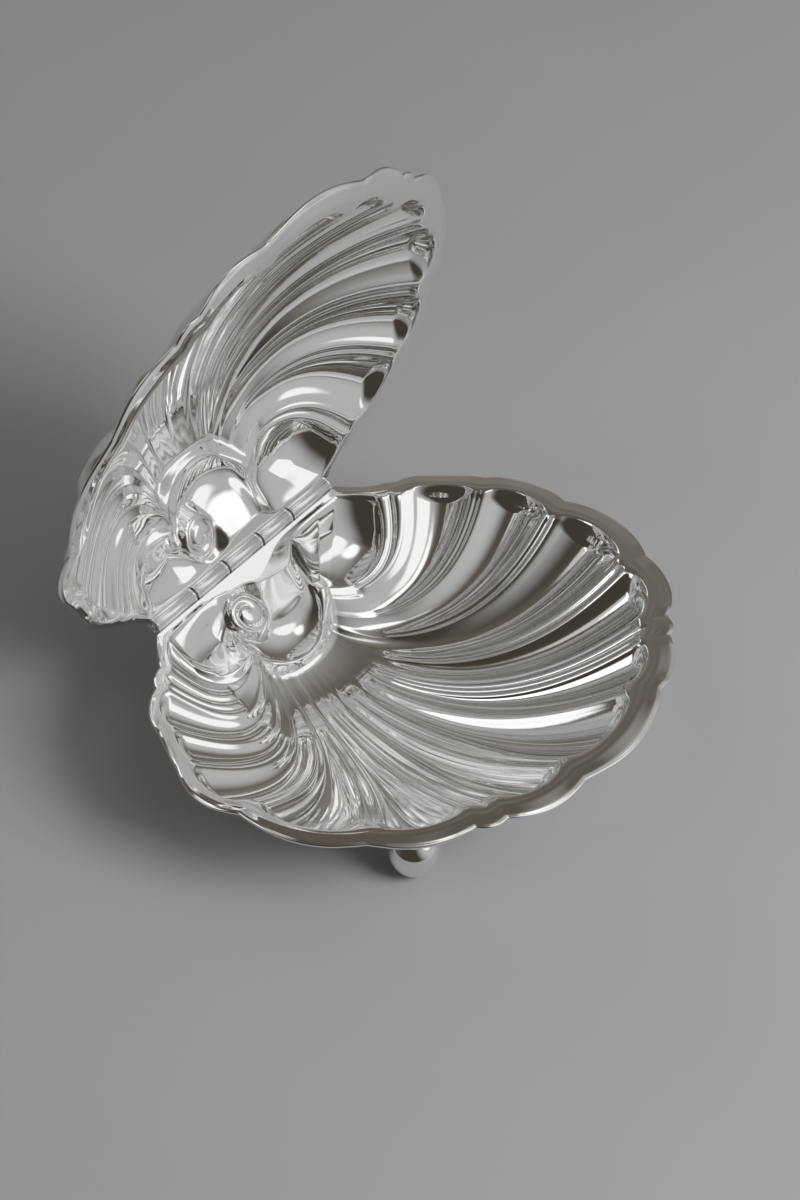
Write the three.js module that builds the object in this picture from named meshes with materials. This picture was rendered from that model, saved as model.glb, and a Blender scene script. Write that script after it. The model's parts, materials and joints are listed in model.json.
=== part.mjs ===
// A hinged shell dish: two stamped fluted shells that close rim to rim, on four ball feet.
// Millimetres, +Z up. The hinge runs along X at the back, the shells reach out towards -Y.
import * as THREE from "three";

// Driving sizes
const hingeLength = 70;
const hingeOverhang = 0.8;
const knuckleRadius = 2.2;
const knuckleEndGap = 0.3;
const pinRadius = 0.8;
const pinClearance = 0.05;
const pinHeadLength = 0.5;
const knuckleEdge = 0.3;
const sheetThickness = 1;
const closedRimGap = 0.3;
const hingeEdgeGap = 0.4;
const flangeWidthBroad = 6.5;
const flangeWidthNarrow = 2.2;
const shellWidth = 144.4;
const bowlDepth = 23.5;
const bowlRoundness = 2.6;
const flangeDrop = 1;
const fluteDepthPerWidth = 0.19;
const reedHeightPerWidth = 0.27;
const lidOpenDegrees = 81.7;
const footBallRadius = 7;
const footFlatRadius = 1.4;
const footNeckRadius = 1.9;
const footNeckLength = 1.8;
const seatGap = 0.3;
const bearerThickness = 1.2;
const bearerReach = 3.9;
const bearerEdge = 0.5;

// The knuckle joints, as shares of the hinge length from its middle
const knuckleJoints = [-0.5, -0.28, -0.098, 0.095, 0.271, 0.5];

// Where each foot stands under the base, from the middle of the hinge
const footPlaces = {
  front_left: [-34.7, -89.2],
  front_right: [41, -88],
  back_left: [-37, -20],
  back_right: [38, -19],
};

// The start of each lobe of the rim, clockwise from the right end of the hinge.
// x and y of the notch, how far the lobe swells past its chord, the kind of lobe,
// the angle where its flute leaves the floor, the flute's sideways bow, and how deep the bowl
// is along it, as a share of the bowl depth. Lengths are in hundredths of the shell's width.
const hundredth = shellWidth / 100;
const hingeCorner = hingeLength / 2 + hingeOverhang;
const hingeEdge = -(knuckleRadius + hingeEdgeGap);
const rimLobes = [
  [29.22, -6.86, -0.21, "first", -18, -4.85, 0.52],
  [34.97, -10.11, 0.97, "wide", -26, -5.89, 0.62],
  [45.08, -22.09, 2.35, "wide", -37, -6.58, 0.8],
  [49.93, -37.74, 3.32, "wide", -45, -7.62, 0.93],
  [48.2, -58.17, 2.49, "wide", -51, -8.31, 1],
  [38.37, -70.22, 0.83, "pair", -57.5, -7.96, 1],
  [34.97, -73.13, 1.66, "wide", -62.5, -7.62, 1],
  [23.61, -79.43, 3.0, "wide", -69, -5.19, 1],
  [-1.45, -81.44, 2.01, "wide", -86, -2.42, 1],
  [-16.9, -76.25, 0.9, "pair", -99, -1.04, 1],
  [-21.75, -73.41, 2.08, "wide", -106.5, 0, 1],
  [-36.36, -61.57, 2.77, "wide", -124, 4.6, 0.97],
  [-45.5, -40.51, 2.42, "wide", -134, 8.1, 0.9],
  [-45.08, -25.69, 0.14, "wide", -141, 9.7, 0.78],
  [-41.27, -17.8, 1.52, "wide", -145, 9.35, 0.66],
  [-34.07, -10.25, 0.69, "pair", -149, 7.62, 0.52],
  [-30.12, -7.55, 0.21, "wide", -152, 5.89, 0.44],
  [-hingeCorner / hundredth, hingeEdge / hundredth, 0, "hinge", -156, 4.16, 0.34],
  [hingeCorner / hundredth, hingeEdge / hundredth, 0.21, "corner", -372, 0, 0.42],
];

// Where the creases between flutes and reeds run, as shares of each kind of lobe
const creasesOf = {
  first: [0, 0.5],
  wide: [0.14, 0.86, 1],
  pair: [0.5, 1],
  hinge: [1],
  corner: [1],
};
const creases = rimLobes.flatMap((lobe, i) => creasesOf[lobe[3]].map((share) => i + share));

// Mesh columns across each kind of lobe and rows from the floor's middle to the rim
const columnsOf = {
  first: [0, 0.25, 0.5, 0.75],
  wide: [0, 0.07, 0.14, 0.38, 0.62, 0.86, 0.93],
  pair: [0, 0.25, 0.5, 0.75],
  corner: [0, 0.5],
  hinge: Array.from({ length: 20 }, (_, i) => i / 20),
};
const rows = [0.25, 0.55, 0.8, 0.93, 1, 1.08, 1.2, 1.36, 1.52, 1.68, 1.8, 1.89, 1.96, 2, 3];

// The band of smooth floor round the volute, from which the flutes start
const floorCentre = new THREE.Vector2(-4, -16);
const floorRadius = { across: 17.5, front: 12.5, back: 3 };
const floorPoleDepth = 0.2;
const floorShare = 0.82;
const floorBackRise = 0.7;
const fluteDip = 0.3;
const reedShare = { rim: 0.14, right: 0.19, left: 0.35, rightFrom: -51, leftBy: -69 };
const reedStart = { front: 0.08, left: 0.34, frontFrom: -110, leftBy: -160 };
const reedForm = { round: 0.8, tip: 0.05 };
const fluteGrowth = 0.5;
const fluteEndWall = 0.035;
const shellMiddle = new THREE.Vector2(2, -58);
const broadFlangeAngle = -1;

// The two round hollows beside the hinge, the flat leaf that reaches in between them
// and the tilted button in the left one
const hollowTop = -4.6;
const volute = { x: -3.5, y: -16, left: 14, right: 12, along: 10.5, slope: 0.82, hollow: 4.8 };
const cheek = { x: 24, y: -15, left: 16.5, right: 17, along: 11.5, slope: 0.52, hollow: 6.4 };
const cheekEnd = { share: 0.12, lift: 12 };
const leaf = { left: -17, tip: 5, reach: 7.4, right: 6.5, wall: 9 };
const eye = { x: -11.85, y: -12.65, depth: 5.3, slope: 0.78, lean: -0.11, dome: 1.2, radius: 5.9 };
const eyeEdge = 1.2;
const foldRound = { betweenHollows: 1.2, crest: 1.5, sides: 4, sideFrom: 13, sideBy: 22 };
const rimWall = { hollows: 0.3, all: 0.04, folds: 0.5 };

// A value of the lobe list at a place along the rim, eased so that it never overshoots
function alongRim(place, column) {
  const count = rimLobes.length;
  const lobe = Math.floor(place) % count;
  const share = place - Math.floor(place);
  const turn = (i) => (column === 4 ? -360 * Math.floor(i / count) : 0);
  const value = (i) => rimLobes[(i + count) % count][column] + turn(i);
  const step = (i) => value(i + 1) - value(i);
  const ease = (a, b) => (a * b > 0 ? (2 * a * b) / (a + b) : 0);
  const before = ease(step(lobe - 1), step(lobe));
  const after = ease(step(lobe), step(lobe + 1));
  const t2 = share * share;
  const t3 = t2 * share;
  return (
    value(lobe) * (2 * t3 - 3 * t2 + 1) +
    before * (t3 - 2 * t2 + share) +
    value(lobe + 1) * (3 * t2 - 2 * t3) +
    after * (t3 - t2)
  );
}

function curve(from, handle, to, share) {
  const rest = 1 - share;
  return new THREE.Vector2(
    rest * rest * from.x + 2 * rest * share * handle.x + share * share * to.x,
    rest * rest * from.y + 2 * rest * share * handle.y + share * share * to.y,
  );
}

// The handle that makes a curve pass the given distance to the left of its chord
function bowHandle(from, to, bow) {
  const chord = to.clone().sub(from);
  const left = new THREE.Vector2(-chord.y, chord.x).normalize();
  return from.clone().add(to).multiplyScalar(0.5).addScaledVector(left, 2 * bow);
}

function outerRim(place) {
  const count = rimLobes.length;
  const lobe = Math.floor(place) % count;
  const [x0, y0, swell] = rimLobes[lobe];
  const [x1, y1] = rimLobes[(lobe + 1) % count];
  const from = new THREE.Vector2(x0, y0).multiplyScalar(hundredth);
  const to = new THREE.Vector2(x1, y1).multiplyScalar(hundredth);
  const handle = bowHandle(from, to, swell * hundredth);
  return curve(from, handle, to, place - Math.floor(place));
}

function lobeKind(place) {
  return rimLobes[Math.floor(place) % rimLobes.length][3];
}

function innerRim(place) {
  const rim = outerRim(place);
  if (lobeKind(place) === "hinge") {
    const half = hingeCorner - flangeWidthNarrow;
    const x = THREE.MathUtils.clamp(rim.x, -half, half);
    return new THREE.Vector2(x, hollowTop);
  }
  const inward = shellMiddle.clone().sub(rim);
  const angle = Math.atan2(-inward.y, -inward.x);
  const broad = 0.5 + 0.5 * Math.cos(angle - broadFlangeAngle);
  const width = flangeWidthNarrow + (flangeWidthBroad - flangeWidthNarrow) * broad;
  return rim.addScaledVector(inward.normalize(), width);
}

function floorEdge(place) {
  const angle = THREE.MathUtils.degToRad(alongRim(place, 4));
  const reach = Math.sin(angle) > 0 ? floorRadius.back : floorRadius.front;
  const x = floorCentre.x + floorRadius.across * Math.cos(angle);
  const share = floorShare * (1 - floorBackRise * Math.max(0, Math.sin(angle)));
  const depth = share * bowlDepth * alongRim(place, 6);
  return new THREE.Vector3(x, floorCentre.y + reach * Math.sin(angle), depth);
}

// A rise from 0 to 1 that starts steeply and ends level
function levelling(value, power) {
  return 1 - (1 - THREE.MathUtils.clamp(value, 0, 1)) ** power;
}

// Moves a place inwards along the flutes, where the reeds take more of each lobe
function crowded(place, share) {
  if (lobeKind(place) !== "wide") return place;
  const { lerp, smoothstep } = THREE.MathUtils;
  const lobe = Math.floor(place);
  const t = place - lobe;
  const { rim, right, left, rightFrom, leftBy } = reedShare;
  const leftward = (rightFrom - alongRim(lobe + 0.5, 4)) / (rightFrom - leftBy);
  const atFloor = lerp(right, left, THREE.MathUtils.clamp(leftward, 0, 1));
  const reed = lerp(atFloor, rim, smoothstep(share, 0.35, 1));
  if (t < rim) return lobe + (t / rim) * reed;
  if (t > 1 - rim) return lobe + 1 - ((1 - t) / rim) * reed;
  return lobe + 0.5 + ((t - 0.5) * (0.5 - reed)) / (0.5 - rim);
}

// The plan position along the flute that runs to a place on the rim
function fluteLine(place, share) {
  const moved = crowded(place, share);
  const start = floorEdge(moved);
  const edge = new THREE.Vector2(start.x, start.y);
  const inner = innerRim(moved);
  return curve(edge, bowHandle(edge, inner, alongRim(moved, 5) * hundredth), inner, share);
}

// The share of its length after which a reed rises: early in front, later at the left
function reedLead(place) {
  const { front, left, frontFrom, leftBy } = reedStart;
  const toLeft = (alongRim(place, 4) - frontFrom) / (leftBy - frontFrom);
  return THREE.MathUtils.lerp(front, left, THREE.MathUtils.clamp(toLeft, 0, 1));
}

// The two creases beside a place on the rim, and how far across it lies, from -1 to 1
function creaseSpan(place) {
  const after = creases.findIndex((crease) => crease > place);
  const from = creases[after - 1];
  const to = creases[after];
  return { from, to, across: (2 * (place - from)) / (to - from) - 1, isFlute: to - from > 0.6 };
}

// How much deeper than the plain bowl the sheet lies, below zero on a reed
function relief(place, share) {
  const kind = lobeKind(place);
  if (kind === "hinge" || kind === "corner") return 0;
  const { from, to, across, isFlute } = creaseSpan(place);
  const width = fluteLine(from + 1e-6, share).distanceTo(fluteLine(to - 1e-6, share));
  const arch = 1 - across * across;
  const end = levelling((1 - share) / fluteEndWall, 2);
  if (isFlute) {
    const growth = THREE.MathUtils.smoothstep(share, 0, fluteGrowth);
    return fluteDepthPerWidth * width * arch * growth * end;
  }
  const tip = levelling((share - reedLead((from + to) / 2)) / reedForm.tip, 2);
  return -reedHeightPerWidth * width * arch ** reedForm.round * Math.sqrt(tip) * end;
}

// The larger of two depths, with a rounded fold where they cross
function foldTogether(a, b, round) {
  const mix = THREE.MathUtils.clamp(0.5 + (a - b) / (2 * round), 0, 1);
  return b + (a - b) * mix + round * mix * (1 - mix);
}

function roundHollow(point, hollow) {
  const side = point.x < hollow.x ? hollow.left : hollow.right;
  const across = (point.x - hollow.x) / side;
  const along = (point.y - hollow.y) / hollow.along;
  const inside = 1 - across * across - along * along;
  const bowl = inside > 0 ? hollow.hollow * inside : 3 * hollow.hollow * inside;
  return hollow.slope * (hollowTop - point.y) + bowl;
}

// The front edge of the flat leaf between the two hollows
function leafEdge(x) {
  const past = Math.max(0, x - leaf.tip) / leaf.right;
  const width = x < leaf.tip ? levelling((x - leaf.left) / (leaf.tip - leaf.left), 1.6) : 1;
  return hollowTop - leaf.reach * width * Math.exp(-past * past);
}

// Sets the tilted button of the eye into the volute
function withEye(depth, point) {
  const dx = point.x - eye.x;
  const dy = point.y - eye.y;
  const distance = Math.hypot(dx, dy * Math.hypot(1, eye.slope));
  const dome = eye.dome * (1 - (distance / eye.radius) ** 2);
  const button = eye.depth - eye.slope * dy - eye.lean * dx - dome;
  const inside = THREE.MathUtils.smoothstep(eye.radius - distance, 0, eyeEdge);
  return THREE.MathUtils.lerp(depth, button, inside);
}

// How much of the cheek is closed off at a place: all of it beside the flutes
function cheekClosed(place) {
  const kind = lobeKind(place);
  if (kind === "hinge" || kind === "corner") return 0;
  const share = place - Math.floor(place);
  return kind === "first" ? THREE.MathUtils.smoothstep(share, 0, cheekEnd.share) : 1;
}

// Sinks the two hollows into a depth of the plain or fluted bowl
function withHollows(depth, point, place, row) {
  const { clamp, lerp, smoothstep } = THREE.MathUtils;
  const right = roundHollow(point, cheek) - cheekEnd.lift * cheekClosed(place);
  const both = foldTogether(roundHollow(point, volute), right, foldRound.betweenHollows);
  const hollows = Math.max(both, 0) * levelling((2 - row) / rimWall.hollows, 3);
  const side = smoothstep(Math.abs(point.x - volute.x), foldRound.sideFrom, foldRound.sideBy);
  const round = lerp(foldRound.crest, foldRound.sides, side);
  const folded = foldTogether(depth, hollows, round * clamp((2 - row) / rimWall.folds, 0.1, 1));
  const wall = levelling((leafEdge(point.x) - point.y) / leaf.wall, 3);
  return withEye(folded * wall, point);
}

// A point of the inner face: x, y, and how deep it lies below the rim.
// The row is 0 to 1 across the floor, 1 to 2 along the flutes, 2 to 3 across the flat rim.
// The smooth form leaves out the flutes and reeds.
function innerFace(place, row, smooth) {
  const start = floorEdge(place);
  const edge = new THREE.Vector2(start.x, start.y);
  const inner = innerRim(place);
  const kind = lobeKind(place);
  if (row >= 2) {
    const out = row - 2;
    const { across, isFlute } = kind === "hinge" ? {} : creaseSpan(place);
    const bulge = isFlute ? 0.3 + 0.7 * (1 - across * across) : 0.3;
    const drop = kind === "hinge" || smooth ? 0 : flangeDrop * out * out * bulge;
    const point = inner.lerp(outerRim(place), out);
    return new THREE.Vector3(point.x, point.y, drop);
  }
  let point;
  let depth;
  if (row <= 1) {
    point = floorCentre.clone().lerp(edge, row);
    depth = THREE.MathUtils.lerp(bowlDepth * floorPoleDepth, start.z, row * row);
  } else {
    const share = row - 1;
    point = kind === "hinge" ? edge.lerp(inner, share) : fluteLine(place, share);
    const dip = Math.max(0, 1 - share / fluteDip);
    const deepest = start.z / floorShare;
    depth = deepest * (1 - share ** bowlRoundness) - (deepest - start.z) * dip * dip;
    if (!smooth) depth += relief(place, share);
  }
  depth = Math.max(0, withHollows(depth, point, place, row));
  return new THREE.Vector3(point.x, point.y, depth * Math.min(1, (2 - row) / rimWall.all));
}

function places() {
  return rimLobes.flatMap((lobe, i) => columnsOf[lobe[3]].map((share) => i + share));
}

// The points of the sheet's inner face, row by row, and last the middle of the floor
function sheetPoints(columns, smooth) {
  const below = (p) => new THREE.Vector3(p.x, p.y, -p.z);
  const grid = rows.flatMap((row) =>
    columns.map((place) => below(innerFace(place, row, smooth))),
  );
  return [...grid, below(innerFace(0, 0, smooth))];
}

// One shell, as it lies with its bowl hanging below the rim plane at z = 0
function shellGeometry() {
  const columns = places();
  const width = columns.length;
  const faces = [];
  rows.slice(1).forEach((_, r) =>
    columns.forEach((_, c) => {
      const next = (c + 1) % width;
      const a = r * width + c;
      const b = r * width + next;
      faces.push([a, b, b + width], [a, b + width, a + width]);
    }),
  );
  columns.forEach((_, c) => faces.push([rows.length * width, (c + 1) % width, c]));
  return thicken(sheetPoints(columns, false), sheetPoints(columns, true), faces, width);
}

// Gives an open sheet its thickness, measured square to its smooth form:
// a second face below the first, and a wall round its edge
function thicken(inside, smooth, faces, width) {
  const normals = inside.map(() => new THREE.Vector3());
  faces.forEach(([a, b, c]) => {
    const side = smooth[b].clone().sub(smooth[a]);
    const normal = smooth[c].clone().sub(smooth[a]).cross(side);
    [a, b, c].forEach((i) => normals[i].add(normal));
  });
  const edgeStart = inside.length - 1 - width;
  const outside = inside.map((p, i) => {
    const down = normals[i].normalize();
    if (down.z > 0) down.negate();
    if (i >= edgeStart && i < edgeStart + width) down.set(0, 0, -1);
    return p.clone().addScaledVector(down, sheetThickness);
  });
  const count = inside.length;
  const closed = [...faces];
  faces.forEach(([a, b, c]) => closed.push([a + count, c + count, b + count]));
  for (let c = 0; c < width; c++) {
    const a = edgeStart + c;
    const b = edgeStart + ((c + 1) % width);
    closed.push([a, b, b + count], [a, b + count, a + count]);
  }
  const geometry = new THREE.BufferGeometry();
  geometry.setFromPoints([...inside, ...outside]);
  geometry.setIndex(closed.flat());
  return geometry;
}

// The height of a sheet's underside at a place, found on its own triangles
function undersideAt(geometry, x, y) {
  const corners = [new THREE.Vector3(), new THREE.Vector3(), new THREE.Vector3()];
  const weights = new THREE.Vector3();
  const place = new THREE.Vector3(x, y, 0);
  const position = geometry.getAttribute("position");
  let lowest = 0;
  for (let i = 0; i < geometry.index.count; i += 3) {
    corners.forEach((corner, k) =>
      corner.fromBufferAttribute(position, geometry.index.getX(i + k)),
    );
    const heights = corners.map((corner) => corner.z);
    const flat = corners.map((corner) => corner.clone().setZ(0));
    const found = THREE.Triangle.getBarycoord(place, ...flat, weights);
    if (!found || Math.min(weights.x, weights.y, weights.z) < 0) continue;
    const height = weights.dot(new THREE.Vector3(...heights));
    lowest = Math.min(lowest, height);
  }
  return lowest;
}

function silver(name) {
  const polish = { base_shell: 0.16, lid_shell: 0.16, hinge_pin: 0.3 };
  return new THREE.MeshStandardMaterial({
    color: 0xcfccc6,
    metalness: 1,
    roughness: polish[name] ?? 0.12,
  });
}

function piece(name, geometry) {
  const mesh = new THREE.Mesh(geometry, silver(name));
  mesh.name = name;
  return mesh;
}

function lathe(profile, segments) {
  const points = profile.map(([x, y]) => new THREE.Vector2(x, y));
  return new THREE.LatheGeometry(points, segments);
}

function lowerShell() {
  const shell = piece("base_shell", shellGeometry());
  shell.position.z = -closedRimGap / 2;
  return shell;
}

// The lid is the same stamping turned over, so each point is mirrored across the rim plane
function upperShell() {
  const geometry = shellGeometry();
  const position = geometry.getAttribute("position");
  for (let i = 0; i < position.count; i++) position.setZ(i, -position.getZ(i));
  const index = geometry.index;
  for (let i = 0; i < index.count; i += 3) {
    const first = index.getX(i);
    index.setX(i, index.getX(i + 1));
    index.setX(i + 1, first);
  }
  const shell = piece("lid_shell", geometry);
  shell.position.z = closedRimGap / 2;
  return shell;
}

function knuckle(number) {
  const from = knuckleJoints[number - 1] * hingeLength;
  const to = knuckleJoints[number] * hingeLength;
  const half = (to - from - knuckleEndGap) / 2;
  const bore = pinRadius + pinClearance;
  const profile = [
    [bore, -half],
    [knuckleRadius - knuckleEdge, -half],
    [knuckleRadius, knuckleEdge - half],
    [knuckleRadius, half - knuckleEdge],
    [knuckleRadius - knuckleEdge, half],
    [bore, half],
    [bore, -half],
  ];
  const tube = piece("hinge_knuckle_" + number, lathe(profile, 20));
  tube.rotation.z = -Math.PI / 2;
  tube.position.x = (from + to) / 2;
  return tube;
}

function hingePin() {
  const half = hingeLength / 2;
  const profile = [
    [0, -half - pinHeadLength],
    [pinRadius * 0.7, -half - pinHeadLength],
    [pinRadius, -half],
    [pinRadius, half],
    [pinRadius * 0.7, half + pinHeadLength],
    [0, half + pinHeadLength],
  ];
  const pin = piece("hinge_pin", lathe(profile, 20));
  pin.rotation.z = -Math.PI / 2;
  return pin;
}

// A strip under the shell's straight edge, hollowed to carry that half's knuckles
function bearer(name, side) {
  const top = -(closedRimGap / 2 + sheetThickness + seatGap);
  const bottom = top - bearerThickness;
  const saddle = knuckleRadius + seatGap;
  const from = Math.PI + Math.asin(-top / saddle);
  const to = Math.PI + Math.asin(Math.min(1, -bottom / saddle));
  const outline = new THREE.Shape();
  outline.moveTo(-bearerReach, side * top);
  for (let i = 0; i <= 5; i++) {
    const angle = from + ((to - from) * i) / 5;
    outline.lineTo(saddle * Math.cos(angle), side * saddle * Math.sin(angle));
  }
  outline.lineTo(-bearerReach + bearerEdge, side * bottom);
  outline.lineTo(-bearerReach, side * (bottom + bearerEdge));
  const geometry = new THREE.ExtrudeGeometry(outline, {
    depth: hingeLength,
    bevelEnabled: false,
  });
  const strip = piece(name, geometry);
  strip.rotation.set(Math.PI / 2, 0, Math.PI / 2, "ZYX");
  strip.position.x = -hingeLength / 2;
  return strip;
}

const ballTop = footBallRadius + Math.sqrt(footBallRadius ** 2 - footFlatRadius ** 2);

function footBall(name, [x, y], ground) {
  const profile = [[0, 0]];
  const start = Math.asin(footFlatRadius / footBallRadius);
  const middle = ballTop - footBallRadius;
  for (let i = 0; i <= 10; i++) {
    const angle = start + ((Math.PI - start) * i) / 10;
    const out = i === 10 ? 0 : footBallRadius * Math.sin(angle);
    profile.push([out, middle - footBallRadius * Math.cos(angle)]);
  }
  const ball = piece("foot_ball_" + name, lathe(profile, 20));
  ball.rotation.x = Math.PI / 2;
  ball.position.set(x, y, ground);
  return ball;
}

// Where a foot's neck ends: under the lowest part of the sheet above it
function neckTop([x, y], shell) {
  const around = Array.from({ length: 8 }, (_, i) => (i * Math.PI) / 4);
  const heights = around.map((angle) =>
    undersideAt(
      shell.geometry,
      x + footNeckRadius * Math.cos(angle),
      y + footNeckRadius * Math.sin(angle),
    ),
  );
  return Math.min(...heights) + shell.position.z - seatGap;
}

function footNeck(name, [x, y], top, ground) {
  const bottom = ground + ballTop + seatGap / 2;
  const geometry = new THREE.CylinderGeometry(footNeckRadius, footNeckRadius, top - bottom, 12);
  const neck = piece("foot_neck_" + name, geometry);
  neck.rotation.x = Math.PI / 2;
  neck.position.set(x, y, (top + bottom) / 2);
  return neck;
}

// The feet stand on one level, which leaves the shortest neck its length
function feet(shell) {
  const tops = Object.values(footPlaces).map((place) => neckTop(place, shell));
  const ground = Math.min(...tops) - footNeckLength - seatGap / 2 - ballTop;
  return Object.entries(footPlaces).flatMap(([name, place], i) => [
    footBall(name, place, ground),
    footNeck(name, place, tops[i], ground),
  ]);
}

function base() {
  const group = new THREE.Group();
  const shell = lowerShell();
  group.add(shell, bearer("base_bearer", 1), knuckle(2), knuckle(4), ...feet(shell));
  return group;
}

function lid() {
  const group = new THREE.Group();
  group.add(upperShell(), bearer("lid_bearer", -1), hingePin());
  group.add(knuckle(1), knuckle(3), knuckle(5));
  group.rotation.x = -THREE.MathUtils.degToRad(lidOpenDegrees);
  return group;
}

// Stands the object on z = 0 with the middle of its box over the origin
function dish() {
  const whole = new THREE.Group();
  whole.add(base(), lid());
  const box = new THREE.Box3().setFromObject(whole, true);
  const middle = box.getCenter(new THREE.Vector3());
  whole.position.set(-middle.x, -middle.y, -box.min.z);
  return whole;
}

export default dish();
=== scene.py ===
# %% [markdown]
# A hinged shell dish in silver plate.
# The dish is two stamped scallop shells, joined by a barrel hinge and standing on four balls.
# The CAD model fixes every size and every moving part, so this lesson starts by loading it.
# Lengths are written in millimetres and multiplied by MM, because Blender works in metres.
# The few that are written in metres say so.

# %% Load the frame
import json
import math

import bmesh
import bpy
import numpy as np
from mathutils import Matrix, Vector


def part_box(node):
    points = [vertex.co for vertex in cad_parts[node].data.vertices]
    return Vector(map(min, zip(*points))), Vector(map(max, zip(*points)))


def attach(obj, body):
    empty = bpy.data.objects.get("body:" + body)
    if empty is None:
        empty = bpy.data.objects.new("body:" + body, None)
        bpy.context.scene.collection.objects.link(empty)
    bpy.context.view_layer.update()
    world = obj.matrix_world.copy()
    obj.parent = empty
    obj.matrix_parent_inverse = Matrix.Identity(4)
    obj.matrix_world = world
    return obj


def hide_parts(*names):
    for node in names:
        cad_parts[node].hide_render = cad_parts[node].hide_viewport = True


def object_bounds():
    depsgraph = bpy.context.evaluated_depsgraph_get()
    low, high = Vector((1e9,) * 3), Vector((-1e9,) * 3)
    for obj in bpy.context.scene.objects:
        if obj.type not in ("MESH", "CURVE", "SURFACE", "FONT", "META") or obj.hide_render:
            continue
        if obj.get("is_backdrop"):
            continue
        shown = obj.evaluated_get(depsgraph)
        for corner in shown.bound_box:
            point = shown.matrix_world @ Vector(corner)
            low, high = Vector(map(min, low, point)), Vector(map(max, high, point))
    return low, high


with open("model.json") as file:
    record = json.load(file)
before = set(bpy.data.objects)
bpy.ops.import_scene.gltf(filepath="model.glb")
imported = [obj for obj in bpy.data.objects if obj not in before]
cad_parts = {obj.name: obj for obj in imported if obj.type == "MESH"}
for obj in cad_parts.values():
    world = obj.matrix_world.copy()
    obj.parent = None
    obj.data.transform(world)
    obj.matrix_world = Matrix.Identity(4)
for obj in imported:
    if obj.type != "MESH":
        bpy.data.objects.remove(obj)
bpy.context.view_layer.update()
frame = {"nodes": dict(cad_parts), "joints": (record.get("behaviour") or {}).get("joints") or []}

MM = 0.001
scene = bpy.context.scene
hinge_joint = frame["joints"][0]
HINGE = Vector(hinge_joint["pos_m"])
OPEN_ANGLE = math.radians(hinge_joint["range_deg"][1])
print("nodes in the frame:", len(frame["nodes"]), "hinge at", [round(c, 4) for c in HINGE])

# %% [markdown]
# The rim of the real shell is a row of lobes. Each lobe starts at a notch and swells outwards.
# Between the broad lobes lie short ones, and the back is straight where the hinge sits.
# The rim could be drawn as one long curve, but a list of lobes is easier to change, because
# the flutes and reeds inside the bowl start from the same rows. The numbers are the driving
# sizes of the CAD source, so the dressed shell lies within about a millimetre of the plain
# one nearly everywhere.

# %% The lobes of the rim
SHELL_WIDTH = 144.4
HUNDREDTH = SHELL_WIDTH / 100
HINGE_LENGTH = 70.0
CORNER_PAST_HINGE = 0.8
HINGE_CORNER = HINGE_LENGTH / 2 + CORNER_PAST_HINGE
HINGE_EDGE = -2.6

# The columns of a lobe are x and y of its notch, its swell, its kind, the angle where its flute
# leaves the floor, the flute's bow, and its share of the full depth. The lengths among them
# are hundredths of the shell's width.
X, Y, SWELL, KIND, ANGLE, BOW, DEPTH = range(7)
LOBES = [
    (29.22, -6.86, -0.21, "first", -18, -4.85, 0.52),
    (34.97, -10.11, 0.97, "wide", -26, -5.89, 0.62),
    (45.08, -22.09, 2.35, "wide", -37, -6.58, 0.8),
    (49.93, -37.74, 3.32, "wide", -45, -7.62, 0.93),
    (48.2, -58.17, 2.49, "wide", -51, -8.31, 1),
    (38.37, -70.22, 0.83, "pair", -57.5, -7.96, 1),
    (34.97, -73.13, 1.66, "wide", -62.5, -7.62, 1),
    (23.61, -79.43, 3.0, "wide", -69, -5.19, 1),
    (-1.45, -81.44, 2.01, "wide", -86, -2.42, 1),
    (-16.9, -76.25, 0.9, "pair", -99, -1.04, 1),
    (-21.75, -73.41, 2.08, "wide", -106.5, 0, 1),
    (-36.36, -61.57, 2.77, "wide", -124, 4.6, 0.97),
    (-45.5, -40.51, 2.42, "wide", -134, 8.1, 0.9),
    (-45.08, -25.69, 0.14, "wide", -141, 9.7, 0.78),
    (-41.27, -17.8, 1.52, "wide", -145, 9.35, 0.66),
    (-34.07, -10.25, 0.69, "pair", -149, 7.62, 0.52),
    (-30.12, -7.55, 0.21, "wide", -152, 5.89, 0.44),
    (-HINGE_CORNER / HUNDREDTH, HINGE_EDGE / HUNDREDTH, 0, "hinge", -156, 4.16, 0.34),
    (HINGE_CORNER / HUNDREDTH, HINGE_EDGE / HUNDREDTH, 0.21, "corner", -372, 0, 0.42),
]
COUNT = len(LOBES)
KINDS = [lobe[KIND] for lobe in LOBES]
HINGE_LOBE = KINDS.index("hinge")
CORNER_LOBE = KINDS.index("corner")
print("lobes:", COUNT, "of them broad:", KINDS.count("wide"))

# %% [markdown]
# A place on the rim is one number: 3.5 is the middle of lobe 3. In the sheet, a crease parts
# each hollow flute from the raised reeds beside it. At the rim each reed takes the same
# small share of a broad lobe, and the short lobes hold reeds only.

# %% The creases between flutes and reeds
REED_SHARE_RIM = 0.14
CREASES_OF = {
    "first": [0, 0.5],
    "wide": [REED_SHARE_RIM, 1 - REED_SHARE_RIM, 1],
    "pair": [0.5, 1],
    "hinge": [1],
    "corner": [1],
}
creases = np.array([i + s for i, kind in enumerate(KINDS) for s in CREASES_OF[kind]])
starts_flute = np.isclose(creases % 1, REED_SHARE_RIM)
print("creases:", len(creases), "flutes:", int(starts_flute.sum()))

# %% [markdown]
# These helpers walk along the rim. They take whole arrays of places at once,
# because numpy moves a hundred thousand points in the time a loop moves a few hundred.


# %% Walk along the rim
def lobe_of(place):
    return np.floor(place).astype(int) % COUNT


def is_kind(place, *kinds):
    return np.isin(np.array(KINDS)[lobe_of(place)], kinds)


def smooth_step(value):
    """Rises from 0 to 1 with a soft start and a soft end."""
    value = np.clip(value, 0, 1)
    return value * value * (3 - 2 * value)


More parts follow.
